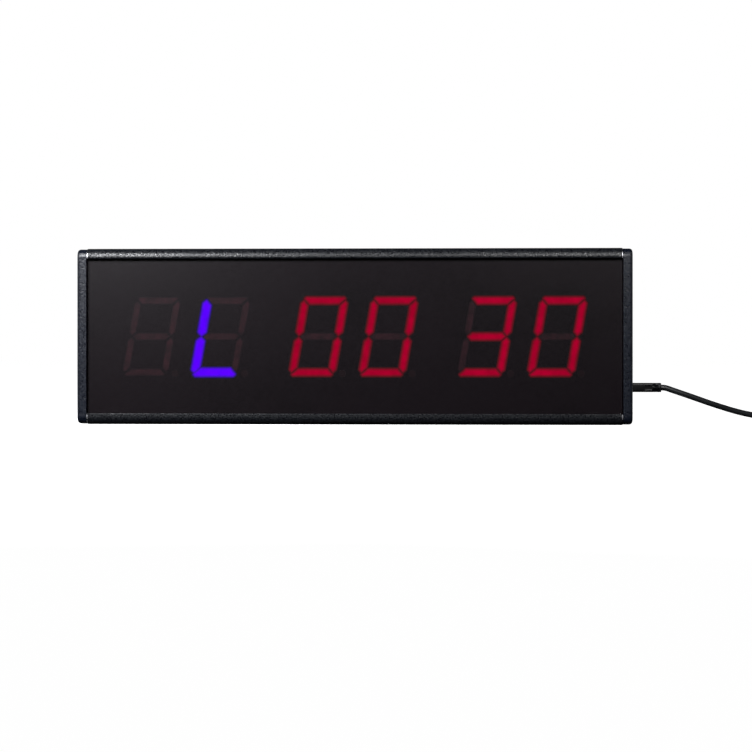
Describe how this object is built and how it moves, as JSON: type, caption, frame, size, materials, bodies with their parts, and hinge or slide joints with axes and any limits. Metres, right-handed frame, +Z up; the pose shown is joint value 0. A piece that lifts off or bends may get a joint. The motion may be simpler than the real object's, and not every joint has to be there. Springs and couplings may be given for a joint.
{
  "type": "gym timer",
  "caption": "Long black box with a smoked front panel over slanted seven-segment digits, for timing workouts on a wall or shelf, with a plug-in power lead.",
  "frame": {"origin": "the middle of the case's underside, on the surface that the case stands on", "axes": "+X to the right of someone who reads the digits, towards the power lead; +Y to the back; +Z up"},
  "size_m": [0.6813, 0.0604, 0.129],
  "materials": {
    "powder_coat": "fine black powder coat on extruded aluminium",
    "black_zinc": "black zinc plate",
    "smoked_acrylic": "polished, dark smoked",
    "back_sheet": "matt black sheet",
    "mask_film": "satin black film",
    "black_plastic": "moulded, satin",
    "segment_resin": "cast resin that spreads the light",
    "laminate": "black solder resist on glass laminate",
    "chip_resin": "moulded epoxy",
    "crystal_can": "drawn can",
    "capacitor_sleeve": "shrunk sleeve",
    "white_plastic": "moulded nylon",
    "red_wire": "insulation",
    "black_wire": "insulation",
    "nickel": "nickel plate",
    "cord_sheath": "soft moulded sheath",
    "strap": "hook and loop strap"
  },
  "bodies": {
    "timer": {"top_rail": "powder_coat", "bottom_rail": "powder_coat", "left_end_cap": "powder_coat", "right_end_cap": "powder_coat", "left_cap_screw_1": "black_zinc", "left_cap_screw_2": "black_zinc", "left_cap_screw_3": "black_zinc", "left_cap_screw_4": "black_zinc", "right_cap_screw_1": "black_zinc", "right_cap_screw_2": "black_zinc", "right_cap_screw_3": "black_zinc", "right_cap_screw_4": "black_zinc", "front_panel": "smoked_acrylic", "back_panel": "back_sheet", "mask_sheet": "mask_film", "digit_1_housing": "black_plastic", "digit_2_housing": "black_plastic", "digit_3_housing": "black_plastic", "digit_4_housing": "black_plastic", "digit_5_housing": "black_plastic", "digit_6_housing": "black_plastic", "digit_1_light_guide": "segment_resin", "digit_2_light_guide": "segment_resin", "digit_3_light_guide": "segment_resin", "digit_4_light_guide": "segment_resin", "digit_5_light_guide": "segment_resin", "digit_6_light_guide": "segment_resin", "display_board": "laminate", "controller_chip": "chip_resin", "driver_chip_1": "chip_resin", "driver_chip_2": "chip_resin", "voltage_regulator": "chip_resin", "crystal": "crystal_can", "smoothing_capacitor": "capacitor_sleeve", "buzzer": "black_plastic", "infrared_receiver": "black_plastic", "power_header": "white_plastic", "power_connector": "white_plastic", "red_wire": "red_wire", "black_wire": "black_wire", "dc_jack": "black_plastic", "jack_nut": "nickel"},
    "power_lead": {"plug_barrel": "nickel", "plug_grip": "cord_sheath", "lead": "cord_sheath", "lead_coil": "cord_sheath", "lead_tail": "cord_sheath", "lead_tie": "strap", "adapter_strain_relief": "cord_sheath", "adapter_base": "black_plastic", "adapter_lid": "black_plastic", "adapter_blade_1": "nickel", "adapter_blade_2": "nickel"}
  },
  "joints": [
    {"name": "plug_slide", "type": "slide", "parent": "timer", "child": "power_lead", "axis": [1, 0, 0], "range_m": [0, 0.0105]}
  ]
}
